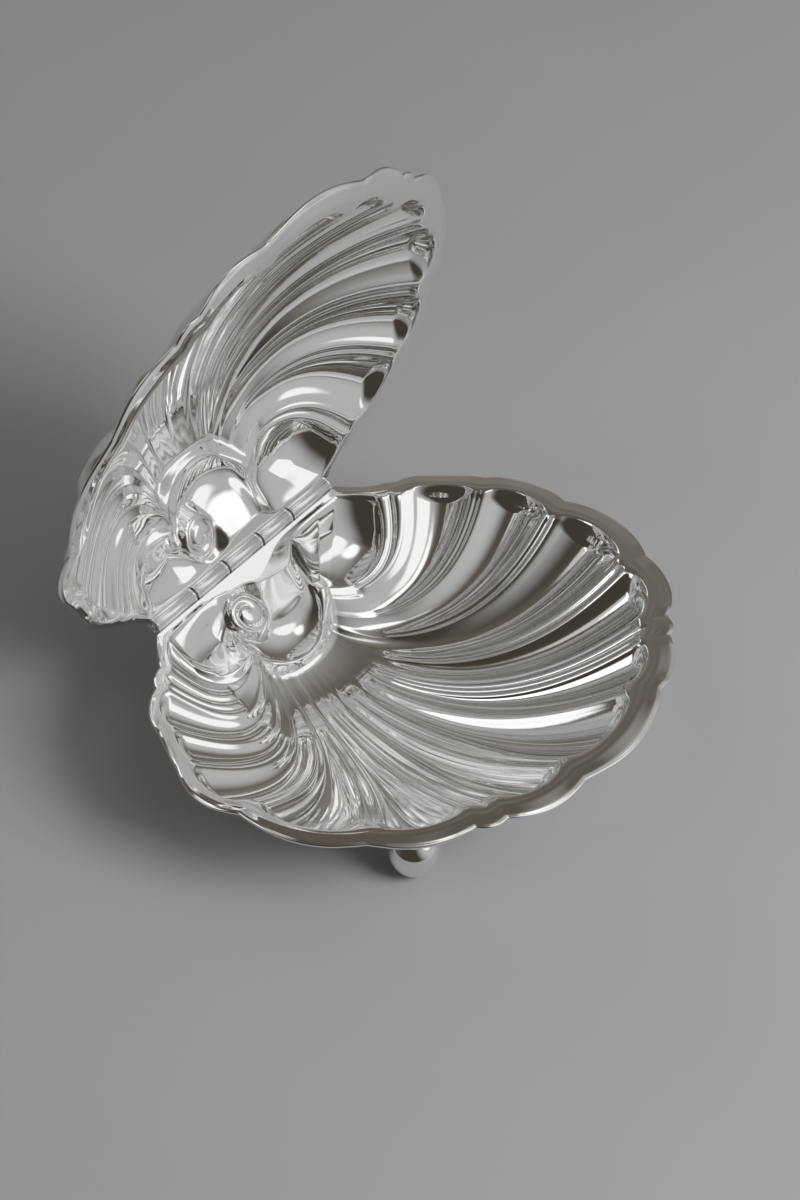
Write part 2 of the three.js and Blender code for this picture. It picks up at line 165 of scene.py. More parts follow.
def eased_along(place, column):
    """A value of the lobe list between its rows, eased so that it never overshoots."""
    full_turn = 360.0 if column == ANGLE else 0.0
    rows = [LOBES[i % COUNT][column] - full_turn * (i // COUNT) for i in range(-1, COUNT + 3)]
    value = np.array(rows, float)
    step = np.diff(value)
    product = step[:-1] * step[1:]
    total = np.where(step[:-1] + step[1:] == 0, 1.0, step[:-1] + step[1:])
    tangent = np.where(product > 0, 2 * product / total, 0.0)
    lobe = lobe_of(place)
    t = place - np.floor(place)
    return (
        value[lobe + 1] * (2 * t**3 - 3 * t**2 + 1)
        + tangent[lobe] * (t**3 - 2 * t**2 + t)
        + value[lobe + 2] * (3 * t**2 - 2 * t**3)
        + tangent[lobe + 1] * (t**3 - t**2)
    )


def bowed(start, stop, bow, share):
    """A curve that passes the given distance to the left of its chord."""
    chord = stop - start
    length = np.linalg.norm(chord, axis=-1, keepdims=True)
    left = np.stack([-chord[..., 1], chord[..., 0]], -1) / length
    handle = (start + stop) / 2 + left * 2 * np.asarray(bow)[..., None]
    s = np.asarray(share)[..., None]
    return (1 - s) ** 2 * start + 2 * (1 - s) * s * handle + s**2 * stop


NOTCHES = np.array([[lobe[X], lobe[Y]] for lobe in LOBES]) * HUNDREDTH
SWELLS = np.array([lobe[SWELL] for lobe in LOBES]) * HUNDREDTH


def outer_rim(place):
    lobe = lobe_of(place)
    return bowed(NOTCHES[lobe], NOTCHES[(lobe + 1) % COUNT], SWELLS[lobe], place - np.floor(place))


print("the rim runs from x", NOTCHES[:, 0].min().round(1), "to", NOTCHES[:, 0].max().round(1))

# %% [markdown]
# The flat flange is broad at the front right and narrow at the left, as if the stamping
# had been trimmed a little off centre. One cosine round the shell is enough for that.
# Inside the flange begins the bowl, and in its middle lies an oval floor.

# %% The width of the flange and the edge of the floor
FLANGE_BROAD = 6.5
FLANGE_NARROW = 2.2
BROAD_ANGLE = -1.0  # radians from +X
SHELL_MIDDLE = np.array([2.0, -58.0])
HOLLOW_TOP = -4.6
BOWL_DEPTH = 23.5
FLOOR_CENTRE = np.array([-4.0, -16.0])
FLOOR_ACROSS = 17.5
FLOOR_FRONT = 12.5
FLOOR_BACK = 3.0
FLOOR_SHARE = 0.82
FLOOR_BACK_RISE = 0.7


def flange_width(rim):
    outward = rim - SHELL_MIDDLE
    angle = np.arctan2(outward[..., 1], outward[..., 0])
    broad = 0.5 + 0.5 * np.cos(angle - BROAD_ANGLE)
    return FLANGE_NARROW + (FLANGE_BROAD - FLANGE_NARROW) * broad


def inner_rim(place):
    rim = outer_rim(place)
    inward = SHELL_MIDDLE - rim
    inward = inward / np.linalg.norm(inward, axis=-1, keepdims=True)
    inner = rim + inward * flange_width(rim)[..., None]
    half = HINGE_CORNER - FLANGE_NARROW
    along_hinge = np.clip(rim[..., 0], -half, half)
    at_hinge = np.stack([along_hinge, np.full(place.shape, HOLLOW_TOP)], -1)
    return np.where(is_kind(place, "hinge")[..., None], at_hinge, inner)


def floor_edge(place):
    """The plan position and the depth of the floor's edge."""
    angle = np.radians(eased_along(place, ANGLE))
    reach = np.where(np.sin(angle) > 0, FLOOR_BACK, FLOOR_FRONT)
    point = np.stack([FLOOR_ACROSS * np.cos(angle), reach * np.sin(angle)], -1) + FLOOR_CENTRE
    share = FLOOR_SHARE * (1 - FLOOR_BACK_RISE * np.maximum(0, np.sin(angle)))
    return point, share * BOWL_DEPTH * eased_along(place, DEPTH)


flange_at_notches = flange_width(NOTCHES)
print("flange width:", flange_at_notches.min().round(1), "to", flange_at_notches.max().round(1))

# %% [markdown]
# From the floor to the rim run the flutes, in bowed lines that fan out. Between two of them
# stand narrow reeds. On the real stamping the reeds at the left take more of each lobe near
# the floor, so that is where the places are moved a little along the rim.

# %% The lines of the flutes
REED_SHARE_RIGHT = 0.19
REED_SHARE_LEFT = 0.35
REEDS_WIDEN_FROM = -51.0
REEDS_WIDEN_OVER = 18.0
REEDS_NARROW_FROM = 0.35


def crowded(place, share):
    """Moves the places inwards along the flutes, where the reeds take more of each lobe."""
    lobe = np.floor(place)
    t = place - lobe
    turned = REEDS_WIDEN_FROM - eased_along(lobe + 0.5, ANGLE)
    leftward = (turned / REEDS_WIDEN_OVER).clip(0, 1)
    floor_share = REED_SHARE_RIGHT + (REED_SHARE_LEFT - REED_SHARE_RIGHT) * leftward
    near_rim = smooth_step((share - REEDS_NARROW_FROM) / (1 - REEDS_NARROW_FROM))
    reed = floor_share + (REED_SHARE_RIM - floor_share) * near_rim
    first = t / REED_SHARE_RIM * reed
    last = 1 - (1 - t) / REED_SHARE_RIM * reed
    middle = 0.5 + (t - 0.5) * (0.5 - reed) / (0.5 - REED_SHARE_RIM)
    moved = np.where(t < REED_SHARE_RIM, first, np.where(t > 1 - REED_SHARE_RIM, last, middle))
    return lobe + np.where(is_kind(place, "wide"), moved, t)


def flute_line(place, share):
    """The plan position along the flute that runs to a place on the rim."""
    place = crowded(place, share)
    start, _ = floor_edge(place)
    bow = eased_along(place, BOW) * HUNDREDTH
    return bowed(start, inner_rim(place), bow, share)


steepest_bow = max(abs(lobe[BOW]) for lobe in LOBES) * HUNDREDTH
print("the most bowed flute line stands", round(steepest_bow, 1), "off its chord")

# %% [markdown]
# A press forms a wide hollow deeper than a narrow one. So the depth of a flute and the height
# of a reed follow their own width here, and both fade out where they crowd together at
# the floor. A reed starts with a rounded tip, a flute grows slowly out of the floor, and both
# end in a short steep wall at the flange.

# %% The depth of the flutes and the height of the reeds
FLUTE_DEPTH = 0.19
REED_HEIGHT = 0.27
REED_ROUND = 0.8
FLUTE_GROWTH = 0.5
REED_TIP = 0.06
END_WALL = 0.035
LEAD_FRONT = 0.2
LEAD_LEFT = 0.46
LEFT_FROM = -110.0
LEFT_BY = -160.0
NUDGE = 1e-6


def crease_span(place):
    """The two creases beside each place, and how far across it lies, from -1 to 1."""
    after = np.searchsorted(creases, place, side="right").clip(1, len(creases) - 1)
    before = after - 1
    middle = (creases[after] + creases[before]) / 2
    half = (creases[after] - creases[before]) / 2
    return before, after, ((place - middle) / half).clip(-1, 1)


def reed_lead(place):
    """How far from the floor a reed starts, as a share of its line."""
    left = ((eased_along(place, ANGLE) - LEFT_FROM) / (LEFT_BY - LEFT_FROM)).clip(0, 1)
    return LEAD_FRONT + (LEAD_LEFT - LEAD_FRONT) * left


def flute_relief(place, share):
    """How much deeper than the plain bowl the sheet lies, below zero on a reed."""
    before, after, across = crease_span(place)
    one_side = flute_line(creases[before] + NUDGE, share)
    other_side = flute_line(creases[after] - NUDGE, share)
    width = np.linalg.norm(other_side - one_side, axis=-1)
    end = ((1 - share) / END_WALL).clip(0, 1)
    end = end * (2 - end)
    flute = FLUTE_DEPTH * width * (1 - across**2) * smooth_step(share / FLUTE_GROWTH)
    lead = reed_lead((creases[after] + creases[before]) / 2)
    tip = ((share - lead) / REED_TIP).clip(0, 1)
    tip = np.sqrt(tip * (2 - tip))
    reed = -REED_HEIGHT * width * (1 - across**2) ** REED_ROUND * tip
    relief = np.where(starts_flute[before], flute, reed) * end
    return np.where(is_kind(place, "hinge", "corner"), 0.0, relief)


halfway = flute_relief(np.arange(COUNT) + 0.5, np.full(COUNT, 0.5))
print("halfway up, the deepest flute lies", halfway.max().round(1), "below the plain bowl")

# %% [markdown]
# Beside the hinge the stamping holds two round hollows. The left one is the volute, whose wall
# winds inwards like a snail, and the right one is the cheek. A leaf of flat rim reaches in
# between them. Sculpting would give such forms too, but each is near enough an oval dip
# that leans, and formulas can be folded into one another with a rounded crest.

# %% The volute, the cheek and the leaf
VOLUTE = {
    "x": -3.5,
    "y": -16.0,
    "left": 14.0,
    "right": 12.0,
    "along": 10.5,
    "slope": 0.82,
    "hollow": 4.8,
}
CHEEK = {
    "x": 24.0,
    "y": -15.0,
    "left": 16.5,
    "right": 17.0,
    "along": 11.5,
    "slope": 0.52,
    "hollow": 6.4,
}
LEAF = {"left": -17.0, "tip": 5.0, "reach": 7.4, "right": 6.5, "round": 1.6, "wall": 9.0}
HOLLOW_FALL = 3
WALL_ROUNDNESS = 3


def fold_together(a, b, rounding):
    """The larger of two depths, with a rounded fold where they cross."""
    mix = (0.5 + (a - b) / (2 * rounding)).clip(0, 1)
    return b + (a - b) * mix + rounding * mix * (1 - mix)


def round_hollow(x, y, form):
    """The depth of a leaning hollow, which falls away faster outside its own oval."""
    across = np.where(x < form["x"], form["left"], form["right"])
    inside = 1 - ((x - form["x"]) / across) ** 2 - ((y - form["y"]) / form["along"]) ** 2
    bowl = form["hollow"] * np.where(inside > 0, inside, HOLLOW_FALL * inside)
    return form["slope"] * (HOLLOW_TOP - y) + bowl


def rounded_wall(share):
    """Rises from 0 to 1, steeply at first, and rounds into what lies beyond."""
    return 1 - (1 - np.clip(share, 0, 1)) ** WALL_ROUNDNESS


def leaf_edge(x):
    """The front edge of the flat leaf that reaches in between the two hollows."""
    along = ((x - LEAF["left"]) / (LEAF["tip"] - LEAF["left"])).clip(0, 1)
    left = 1 - (1 - along) ** LEAF["round"]
    right = np.exp(-((np.maximum(0, x - LEAF["tip"]) / LEAF["right"]) ** 2))
    return HOLLOW_TOP - LEAF["reach"] * np.where(x < LEAF["tip"], left, right)


for title, form in (("volute", VOLUTE), ("cheek", CHEEK)):
    print(title, "depth in its middle:", round(float(round_hollow(form["x"], form["y"], form)), 1))

# %% [markdown]
# The volute ends in a raised eye, a tilted button with a spiral groove. A groove is a narrow
# dip in depth along a radius that shrinks as it turns. A few radii, one at each quarter turn,
# are easier to match to a hand-cut die than a true spiral is.

# %% The eye of the volute
EYE = {"x": -11.85, "y": -12.65, "depth": 5.3, "slope": 0.78, "lean": -0.11, "dome": 1.2}
EYE_REACH = [7.2, 7.5, 6.6, 5.6, 7.2]
EYE_BLEND = 1.2
QUARTERS = 4

# The groove at each quarter turn, clockwise from its start at the left, towards the hinge
SPIRAL_START = math.radians(143)
SPIRAL_RADII = [5.9, 6.1, 5.2, 3.9, 2.75, 2.0, 1.0]
SPIRAL_DEPTH = [0.5, 0.9, 1.0, 1.0, 0.9, 0.7, 0.0]
SPIRAL_WIDTH = [1.0, 0.95, 0.9, 0.8, 0.7, 0.65, 0.6]
SPIRAL_OPENS = 1.4
SPIRAL_FADES = 1.2


def with_eye(depth, x, y):
    """Sets the eye into the volute: a tilted button whose spiral crease winds inwards."""
    dx, dy = x - EYE["x"], y - EYE["y"]
    distance = np.hypot(dx, dy * math.hypot(1, EYE["slope"]))
    turn = np.mod(SPIRAL_START - np.arctan2(dy, dx), 2 * math.pi) / (math.pi / 2)
    button = EYE["depth"] - EYE["slope"] * dy - EYE["lean"] * dx
    reach = np.interp(turn, range(len(EYE_REACH)), EYE_REACH)
    button = button - EYE["dome"] * (1 - (distance / reach) ** 2)
    quarter = np.arange(len(SPIRAL_RADII))
    for whole in (-QUARTERS, 0, QUARTERS):
        before = np.maximum(0, -(turn + whole))
        radius = np.interp(turn + whole, quarter, SPIRAL_RADII) + SPIRAL_OPENS * before
        deep = np.interp(turn + whole, quarter, SPIRAL_DEPTH) * smooth_step(SPIRAL_FADES - before)
        wide = np.interp(turn + whole, quarter, SPIRAL_WIDTH)
        button = button + deep * np.exp(-(((distance - radius) / wide) ** 2))
    inside = smooth_step((reach - distance) / EYE_BLEND)
    return depth + (button - depth) * inside


print("the spiral makes", (len(SPIRAL_RADII) - 1) / QUARTERS, "turns")

# %% [markdown]
# The next functions give the inner face in parts. A point on it has a place along the rim and
# a row: 0 in the middle of the floor, 1 at the floor's edge, 2 at the inner rim and 3 at
# the outer rim. The first two parts are the floor and the fluted wall. Along the hinge
# the wall is plain, and its lines pass from bowed to straight over the start of that stretch.

# %% The floor and the wall
BOWL_ROUNDNESS = 2.6
FLOOR_POLE = 0.2
WALL_BLEND = 0.3
HINGE_CURVED = 0.3


def floor_part(place, row):
    edge, edge_depth = floor_edge(place)
    r = row.clip(0, 1)
    pole = BOWL_DEPTH * FLOOR_POLE
    return FLOOR_CENTRE + (edge - FLOOR_CENTRE) * r[..., None], pole + (edge_depth - pole) * r**2


def wall_part(place, row):
    edge, edge_depth = floor_edge(place)
    share = (row - 1).clip(0, 1)
    along = flute_line(place, share)
    straight = edge + (inner_rim(place) - edge) * share[..., None]
    curve_left = 1 - smooth_step((place - HINGE_LOBE) / HINGE_CURVED)
    straight = straight + (along - straight) * curve_left[..., None]
    deepest = edge_depth / FLOOR_SHARE
    dip = (1 - share / WALL_BLEND).clip(0, 1)
    bowl = deepest * (1 - share**BOWL_ROUNDNESS) - (deepest - edge_depth) * dip**2
    line = np.where(is_kind(place, "hinge")[..., None], straight, along)
    return line, bowl + flute_relief(place, share)


print("plain depth in the middle of the floor:", round(BOWL_DEPTH * FLOOR_POLE, 1))

# %% [markdown]
# The hollows cut into the back of the bowl. The crest between bowl and volute is tight in
# the middle and broad at the sides, and it tightens again where it runs up to the rim.

# %% The back of the bowl
FOLD_HOLLOWS = 1.2
FOLD_CREST = 1.5
FOLD_SIDES = 8.0
SIDES_FROM = 9
SIDES_OVER = 8
FOLD_LEAST = 0.05
RIM_WALL = 0.3
RIM_CLOSE = 0.04
CHEEK_LIFT = 12
CHEEK_ENDS = 0.12


def with_hollows(depth, x, y, place, row):
    """Sinks the two hollows, the leaf and the eye into the plain depth of the bowl."""
    to_rim = 2 - row
    outside = smooth_step((place - np.floor(place)) / CHEEK_ENDS) * is_kind(place, "first")
    outside = np.where(is_kind(place, "wide", "pair"), 1, outside)
    cheek = round_hollow(x, y, CHEEK) - CHEEK_LIFT * outside
    hollows = fold_together(round_hollow(x, y, VOLUTE), cheek, FOLD_HOLLOWS)
    hollows = np.maximum(hollows, 0) * rounded_wall(to_rim / RIM_WALL)
    side = smooth_step((np.abs(x - VOLUTE["x"]) - SIDES_FROM) / SIDES_OVER)
    rounding = FOLD_CREST + (FOLD_SIDES - FOLD_CREST) * side
    depth = fold_together(depth, hollows, rounding * (to_rim / RIM_WALL).clip(FOLD_LEAST, 1))
    depth = depth * rounded_wall((leaf_edge(x) - y) / LEAF["wall"])
    depth = with_eye(depth, x, y)
    return np.maximum(depth, 0) * (to_rim / RIM_CLOSE).clip(0, 1)


print("rounding of the crest:", FOLD_CREST, "in the middle,", FOLD_SIDES, "at the sides")

# %% [markdown]
# The flange isn't quite flat. It steps down a hair outside the bowl, carries a low bead, rolls
# down towards the edge, most where a flute ends, and turns down once more at the very edge.
# In all that is little over a millimetre, but a mirror finish shows it as lines of light.
# It fades out beside the hinge, where the two rims pass each other closest.

# %% The height of the flange
FLANGE_DROP = 1.0
FLANGE_BEAD = 0.12
FLANGE_STEP = 0.08
FLANGE_LIP = 0.25
BROAD_SPAN = 0.6
ROLL_AT_REEDS = 0.3
STEP_OVER = 0.15
BEAD_AT = 0.34
BEAD_HALF = 0.2
LIP_FROM = 0.86
LIP_OVER = 0.2
HINGE_CLEAR = 0.15


def flange_height(place, out):
    """The height of the flange, from 0 at the inner rim to its edge at 1."""
    before, after, across = crease_span(place)
    wide = np.where(creases[after] - creases[before] > BROAD_SPAN, 1 - across**2, 0)
    from_hinge = np.maximum(HINGE_LOBE - place, place - CORNER_LOBE)
    free = smooth_step(from_hinge / HINGE_CLEAR)
    free = free * flange_width(outer_rim(place)) / FLANGE_BROAD
    roll = FLANGE_DROP * out**2 * (ROLL_AT_REEDS + (1 - ROLL_AT_REEDS) * wide)
    roll = roll + FLANGE_STEP * smooth_step(out / STEP_OVER)
    roll = roll + FLANGE_LIP * smooth_step((out - LIP_FROM) / LIP_OVER)
    bead = FLANGE_BEAD * np.exp(-(((out - BEAD_AT) / BEAD_HALF) ** 2)) * (out > 0)
    return free * (bead - roll)


edge_heights = flange_height(np.arange(COUNT) + 0.5, np.ones(COUNT))
print("edge of the flange:", edge_heights.min().round(2), "to", edge_heights.max().round(2))

# %% [markdown]
# Now the parts are joined. Each is worked out for the whole grid, and np.where takes every
# point from the part that its row lies in, which is simpler than cutting the grid up.


# %% The inner face of the shell
def inner_face(place, row):
    """Points of the inner face, above or below the level of the inner rim."""
    place, row = np.broadcast_arrays(np.asarray(place, float), np.asarray(row, float))
    floor_point, floor_depth = floor_part(place, row)
    wall_point, wall_depth = wall_part(place, row)
    point = np.where((row > 1)[..., None], wall_point, floor_point)
    depth = np.where(row > 1, wall_depth, floor_depth)
    depth = with_hollows(depth, point[..., 0], point[..., 1], place, row)
    inner = inner_rim(place)
    out = (row - 2).clip(0, 1)
    flange_point = inner + (outer_rim(place) - inner) * out[..., None]
    point = np.where((row > 2)[..., None], flange_point, point)
    height = flange_height(place, out) - depth
    return np.concatenate([point, height[..., None]], -1)


lowest = inner_face(np.arange(COUNT) + 0.5, 1.0)[..., 2].min()
print("the floor's edge lies up to", -lowest.round(1), "below the inner rim")

# %% [markdown]
# The finished shell is one grid wrapped on itself: from the middle of the floor outwards
# over the inner face, round the edge of the sheet, and back along the underside.
# Each kind of lobe has its own number of columns, and the rows crowd towards the steep wall
# at the flange and towards the edge, so the faces are small where the shape turns fastest.

# %% Columns and rows of the grid
STEPS = {"first": 16, "wide": 34, "pair": 18, "corner": 4, "hinge": 160}
FLOOR_ROWS, FLUTE_ROWS, FLANGE_ROWS = 36, 64, 18
FLUTE_CROWD, FLANGE_CROWD = 1.35, 1.4


def eased_rows(start, stop, count, crowd):
    """Row values that crowd towards the far end."""
    t = np.linspace(0, 1, count + 1)[1:]
    return start + (stop - start) * (1 - (1 - t) ** crowd)


columns = np.concatenate([i + np.arange(STEPS[k]) / STEPS[k] for i, k in enumerate(KINDS)])
floor_rows = np.linspace(0, 1, FLOOR_ROWS + 1)
flute_rows = eased_rows(1, 2, FLUTE_ROWS, FLUTE_CROWD)
flange_rows = eased_rows(2, 3, FLANGE_ROWS, FLANGE_CROWD)
rows = np.concatenate([floor_rows, flute_rows, flange_rows])
print("grid:", len(columns), "columns,", len(rows), "rows on the inner face")

# %% [markdown]
# The underside is the inner face moved by the thickness of the sheet along smoothed normals.
# The Solidify modifier would use the normals as they are, and its faces would cross under
# the tight reeds. Smoothed ones keep the underside clean, just as a pressed sheet is.
# The underside needs fewer rows, because nobody looks at it closely.

# %% Points of both faces
SHEET = 1.0
DOWN = (0, 0, -1)
NORMAL_BLUR, LAST_BLUR = 6, 2
FLAT_FLOOR_ROWS = FLOOR_ROWS // 3
FLAT_EDGE_ROWS = 3
EDGE_STEPS = 6
UNDER_FLUTE_EACH, UNDER_FLOOR_EACH = 2, 3
TINY = 1e-9


def blur(grid, times):
    """Averages each point with its neighbours, round the rim and from row to row."""
    for _ in range(times):
        grid = (np.roll(grid, 1, 1) + 2 * grid + np.roll(grid, -1, 1)) / 4
        inside = (grid[:-2] + 2 * grid[1:-1] + grid[2:]) / 4
        grid = np.concatenate([grid[:1], inside, grid[-1:]])
    return grid


def unit(vectors):
    return vectors / np.maximum(np.linalg.norm(vectors, axis=-1, keepdims=True), TINY)


def face_normals(grid):
    """Unit normals of a grid of points, pointing down out of the bowl."""
    across = np.roll(grid, -1, 1) - np.roll(grid, 1, 1)
    along = np.gradient(grid, axis=0)
    normal = np.cross(across, along)
    normal[..., 2] = np.where(np.abs(normal).sum(-1) < TINY, -1, normal[..., 2])
    return unit(normal * -np.sign(normal[..., 2:3]))


def smoothed_down(grid):
    """The direction of the underside from each point, straight down at the pole and the edge."""
    down = blur(face_normals(grid), NORMAL_BLUR)
    down[:FLAT_FLOOR_ROWS] = DOWN
    down[-FLAT_EDGE_ROWS:] = DOWN
    down = unit(blur(down, LAST_BLUR))
    down[0] = DOWN
    return down


def rounded_edge(edge, edge_under, outward):
    """Rows that turn half a circle round the edge of the sheet."""
    middle = (edge + edge_under) / 2
    up = (edge - edge_under) / 2
    angles = [math.pi * step / EDGE_STEPS for step in range(1, EDGE_STEPS)]
    return [middle + up * math.cos(a) + outward * SHEET / 2 * math.sin(a) for a in angles]


def shell_points():
    """The whole closed surface as rows of points: inner face, edge of the sheet, underside."""
    inside = inner_face(columns[None, :], rows[:, None])
    under = inside + smoothed_down(inside) * SHEET
    outward = inside[-1] - inside[-2]
    outward[..., 2] = 0
    turned = rounded_edge(inside[-1], under[-1], unit(outward))
    under_flutes = range(len(rows) - 1, FLOOR_ROWS, -UNDER_FLUTE_EACH)
    under_floor = range(FLOOR_ROWS, -1, -UNDER_FLOOR_EACH)
    return np.concatenate([inside, np.array(turned), under[[*under_flutes, *under_floor]]])


points = shell_points()
print("rows in all:", len(points), "quads:", points.shape[0] * points.shape[1])

# %% [markdown]
# Blender makes the grid and the script only moves its points, so there is no hand-made list
# of faces. Merging doubles then closes the seam and the two poles. Every piece ends in the
# same way: its place goes into its mesh and its object stays at the origin, so that patterns
# on Object coordinates never slide.

# %% Finish a piece, and bend a grid into a shell
MERGE_WITHIN = 1e-7  # metres
GRID_HALF = 0.5


def finished(name, bm, matrix):
    """Closes the seams of a shape, moves it to its place and makes its smooth piece."""
    bmesh.ops.remove_doubles(bm, verts=bm.verts, dist=MERGE_WITHIN)
    bm.transform(matrix)
    bmesh.ops.recalc_face_normals(bm, faces=bm.faces)
    for face in bm.faces:
        face.smooth = True
    mesh = bpy.data.meshes.new(name)
    bm.to_mesh(mesh)
    bm.free()
    piece = bpy.data.objects.new(name, mesh)
    scene.collection.objects.link(piece)
    return piece


def shell_grid():
    """A flat grid, one unit wide, whose points are moved to the points of the shell."""
    across, along = points.shape[1], points.shape[0] - 1
    bm = bmesh.new()
    bmesh.ops.create_grid(bm, x_segments=across, y_segments=along, size=GRID_HALF)
    for vert in bm.verts:
        column = round((vert.co.x + GRID_HALF) * across) % across
        row = round((vert.co.y + GRID_HALF) * along)
        vert.co = Vector(points[row, column]) * MM
    return bm


# %% [markdown]
# Base and lid are opposite hands of one form, so that their rims meet when the dish is shut.
# The lid is the base turned over by a mirror and then swung open about the hinge. A mirror
# turns a mesh inside out, which is why the normals are worked out after the transform.

# %% Place the two shells
RIM_GAP = 0.3
at_hinge = Matrix.Translation(HINGE)
half_gap = Matrix.Translation((0, 0, RIM_GAP / 2 * MM))
swung_open = Matrix.Rotation(-OPEN_ANGLE, 4, "X")
turned_over = Matrix.Scale(-1, 4, (0, 0, 1))
base_shell = finished("fluted_base", shell_grid(), at_hinge @ half_gap.inverted())
lid_shell = finished("fluted_lid", shell_grid(), at_hinge @ swung_open @ half_gap @ turned_over)
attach(base_shell, "base")
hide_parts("base_shell")
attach(lid_shell, "lid")
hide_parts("lid_shell")
print("shell vertices:", len(base_shell.data.vertices), "faces:", len(base_shell.data.polygons))

# %% [markdown]
# The turned parts come from one lathe: a profile of radius and height is spun round an axis.
# A cylinder with a bevel would do for some of them, but a profile also holds rings, fillets
# and bores. Its rounded corners are short arcs, because a real turned edge is never sharp
# and the small radius is what catches the light.


# %% A lathe
def arc(centre_r, centre_z, radius, start, stop, count=6):
    """Points on an arc of a profile; angles in degrees from the direction away from the axis."""
    angles = [math.radians(start + (stop - start) * i / count) for i in range(count + 1)]
    return [(centre_r + radius * math.cos(a), centre_z + radius * math.sin(a)) for a in angles]


def lathe(name, profile, steps, matrix):
    bm = bmesh.new()
    corners = [bm.verts.new((max(r, 0) * MM, 0, z * MM)) for r, z in profile]
    edges = [bm.edges.new(pair) for pair in zip(corners, corners[1:])]
    bmesh.ops.spin(
        bm,
        geom=corners + edges,
        cent=(0, 0, 0),
        axis=(0, 0, 1),
        angle=2 * math.pi,
        steps=steps,
        use_merge=True,
    )
    return finished(name, bm, matrix)


def box_of(node):
    low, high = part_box(node)
    return Vector(low), Vector(high)


# %% [markdown]
# The hinge is a row of five short tubes on one pin. On such a dish they are cut from drawn
# tube, so their ends are only broken with a file. A shallow ring near each end is the mark
# the file left. Knuckles 2 and 4 belong to the base, the others to the lid. Their lengths
# and places are read from the frame, so they can't drift away from the joint.

# %% Knuckles of the hinge
KNUCKLE_RADIUS = 2.2
KNUCKLE_BORE = 0.85
KNUCKLE_EDGE = 0.35
KNUCKLE_STEPS = 64
RING_FROM_END = 0.8
RING_HALF = 0.1
RING_DEPTH = 0.06
KNUCKLES = range(1, 6)
ALONG_X = Matrix.Rotation(math.pi / 2, 4, "Y")
LID_NODES = ["hinge_knuckle_1", "hinge_knuckle_3", "hinge_knuckle_5"]


def on_hinge_line(node):
    """Half a node's length in millimetres, and the matrix of its middle on the hinge's line."""
    low, high = box_of(node)
    middle = Matrix.Translation(((low.x + high.x) / 2, HINGE.y, HINGE.z))
    return (high.x - low.x) / 2 / MM, middle @ ALONG_X


def knuckle_profile(half):
    r, e = KNUCKLE_RADIUS, KNUCKLE_EDGE
    ring = [
        (r, half - (RING_FROM_END + RING_HALF)),
        (r - RING_DEPTH, half - RING_FROM_END),
        (r, half - (RING_FROM_END - RING_HALF)),
    ]
    upper = ring + arc(r - e, half - e, e, 0, 90)
    lower = [(radius, -z) for radius, z in reversed(upper)]
    return [(KNUCKLE_BORE, -half)] + lower + upper + [(KNUCKLE_BORE, half), (KNUCKLE_BORE, -half)]


for number in KNUCKLES:
    node = f"hinge_knuckle_{number}"
    half, place = on_hinge_line(node)
    knuckle = lathe(f"knuckle_{number}", knuckle_profile(half), KNUCKLE_STEPS, place)
    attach(knuckle, "lid" if node in LID_NODES else "base")
    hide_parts(node)
print("knuckles:", len(KNUCKLES), "of them on the lid:", len(LID_NODES))

# %% [markdown]
# The pin is a plain wire with tapered ends, so that it could be driven in, and they are
# filed flat. Rings on the flat end, closer together towards its rim, keep the smooth
# shading flat there. The pin turns with the lid.

# %% Pin of the hinge
PIN_RADIUS = 0.8
PIN_TAPER = 0.9
PIN_END_FROM = 37
PIN_RINGS = 8
PIN_STEPS = 48

half, place = on_hinge_line("hinge_pin")
flat_end = [(r, half) for r, _ in arc(0, half, PIN_RADIUS, PIN_END_FROM, 90, PIN_RINGS)]
pin_end = [(PIN_RADIUS, half - PIN_TAPER)] + flat_end + [(0, half)]
pin_profile = [(r, -z) for r, z in reversed(pin_end)] + pin_end
pin = lathe("pin", pin_profile, PIN_STEPS, place)
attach(pin, "lid")
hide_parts("hinge_pin")
print("pin length:", round(2 * half, 1))

# %% [markdown]
# Each foot is a hollow ball with a short neck, soldered on. The solder runs into a small
# fillet at both ends of the neck. The ball has worn a small flat where it stands.
# Both are turned shapes, so the lathe makes them, and the flat is simply where the arc starts.

# %% Ball feet
BALL_RADIUS = 7.0
BALL_FLAT = 1.4
BALL_RINGS = 40
BALL_STEPS = 96
NECK_RADIUS = 1.9
NECK_SINK = 0.55
NECK_ROOT = 0.4
NECK_STEPS = 48
SOLDER = 0.9
SOLDER_LIFT = 0.8
SOLDER_FROM = 262
FOOT_PLACES = ["front_left", "front_right", "back_left", "back_right"]


def ball_profile():
    start = math.degrees(math.asin(BALL_FLAT / BALL_RADIUS)) - 90
    height = math.sqrt(BALL_RADIUS**2 - BALL_FLAT**2)
    return [(0, 0)] + arc(0, height, BALL_RADIUS, start, 90, BALL_RINGS)


def neck_profile(bottom, top):
    foot = arc(NECK_RADIUS + SOLDER, bottom + SOLDER * SOLDER_LIFT, SOLDER, SOLDER_FROM, 180)
    head = arc(NECK_RADIUS + SOLDER, top - SOLDER, SOLDER, 180, 90)
    root = [(0, bottom - NECK_ROOT), (foot[0][0], bottom - NECK_ROOT)]
    return root + foot + head + [(0, top)]


